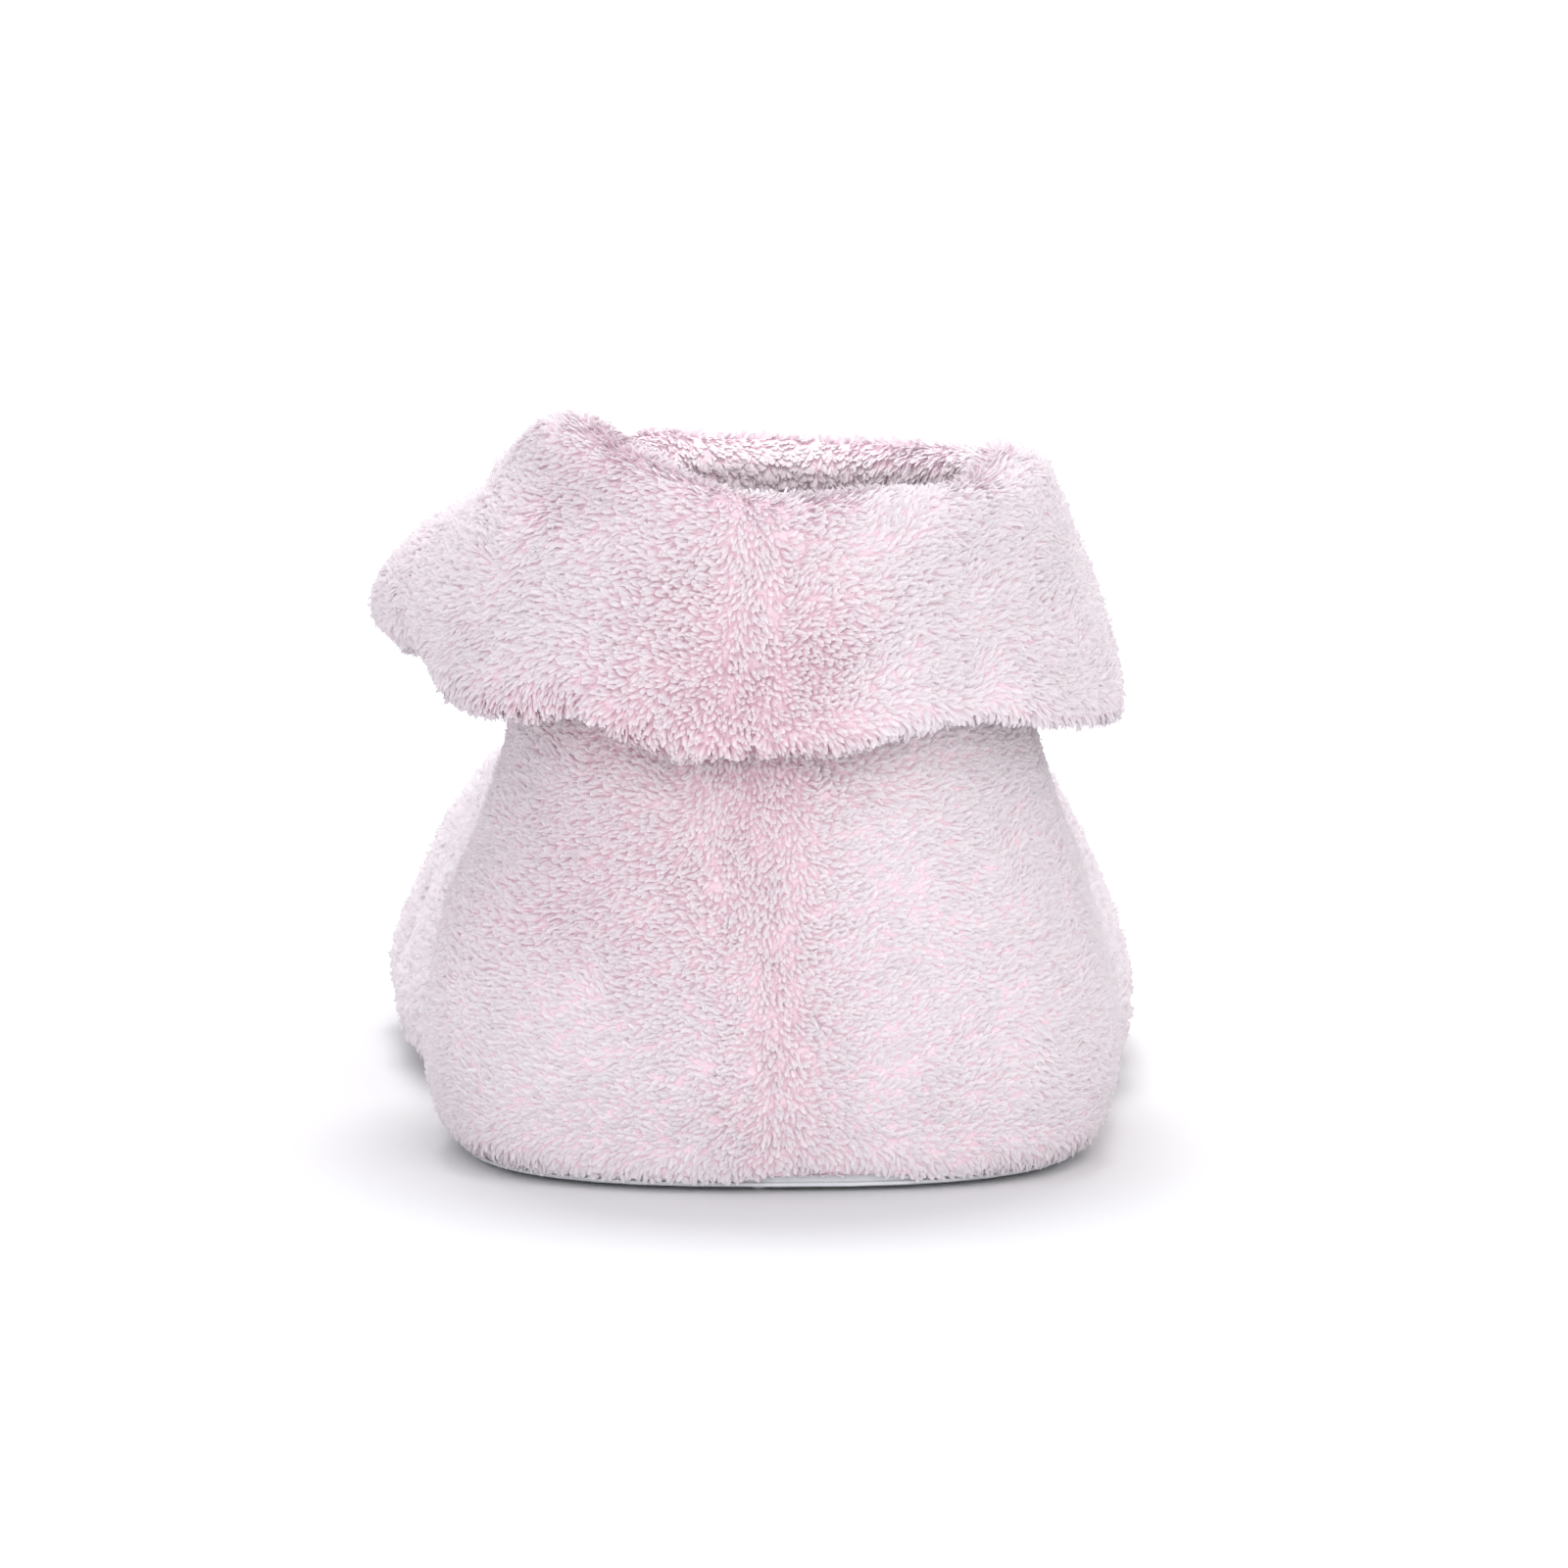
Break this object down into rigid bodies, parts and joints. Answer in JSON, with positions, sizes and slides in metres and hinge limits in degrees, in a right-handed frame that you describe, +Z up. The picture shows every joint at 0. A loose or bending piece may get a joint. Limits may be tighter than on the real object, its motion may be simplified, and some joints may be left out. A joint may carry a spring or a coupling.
{
  "type": "bootie slipper",
  "caption": "Ankle-low plush bootie slipper with a hollow upper, a turned-down cuff, a padded footbed and a thin flat rubber sole.",
  "frame": {"origin": "on the floor under the middle of the heel, 45 mm ahead of the back of the heel", "axes": "+Z up, +Y towards the toe, +X towards the outer side of a right foot"},
  "size_m": [0.1151, 0.2613, 0.101],
  "materials": {
    "sole_rubber": "matt, light grey",
    "footbed": "short flat pile, pale pink",
    "plush": "tufted plush pile, pale pink",
    "cuff_plush": "tufted plush pile, pale pink"
  },
  "bodies": {
    "root": {"outsole": "sole_rubber", "insole": "footbed", "upper": "plush", "cuff": "cuff_plush"}
  },
  "joints": []
}
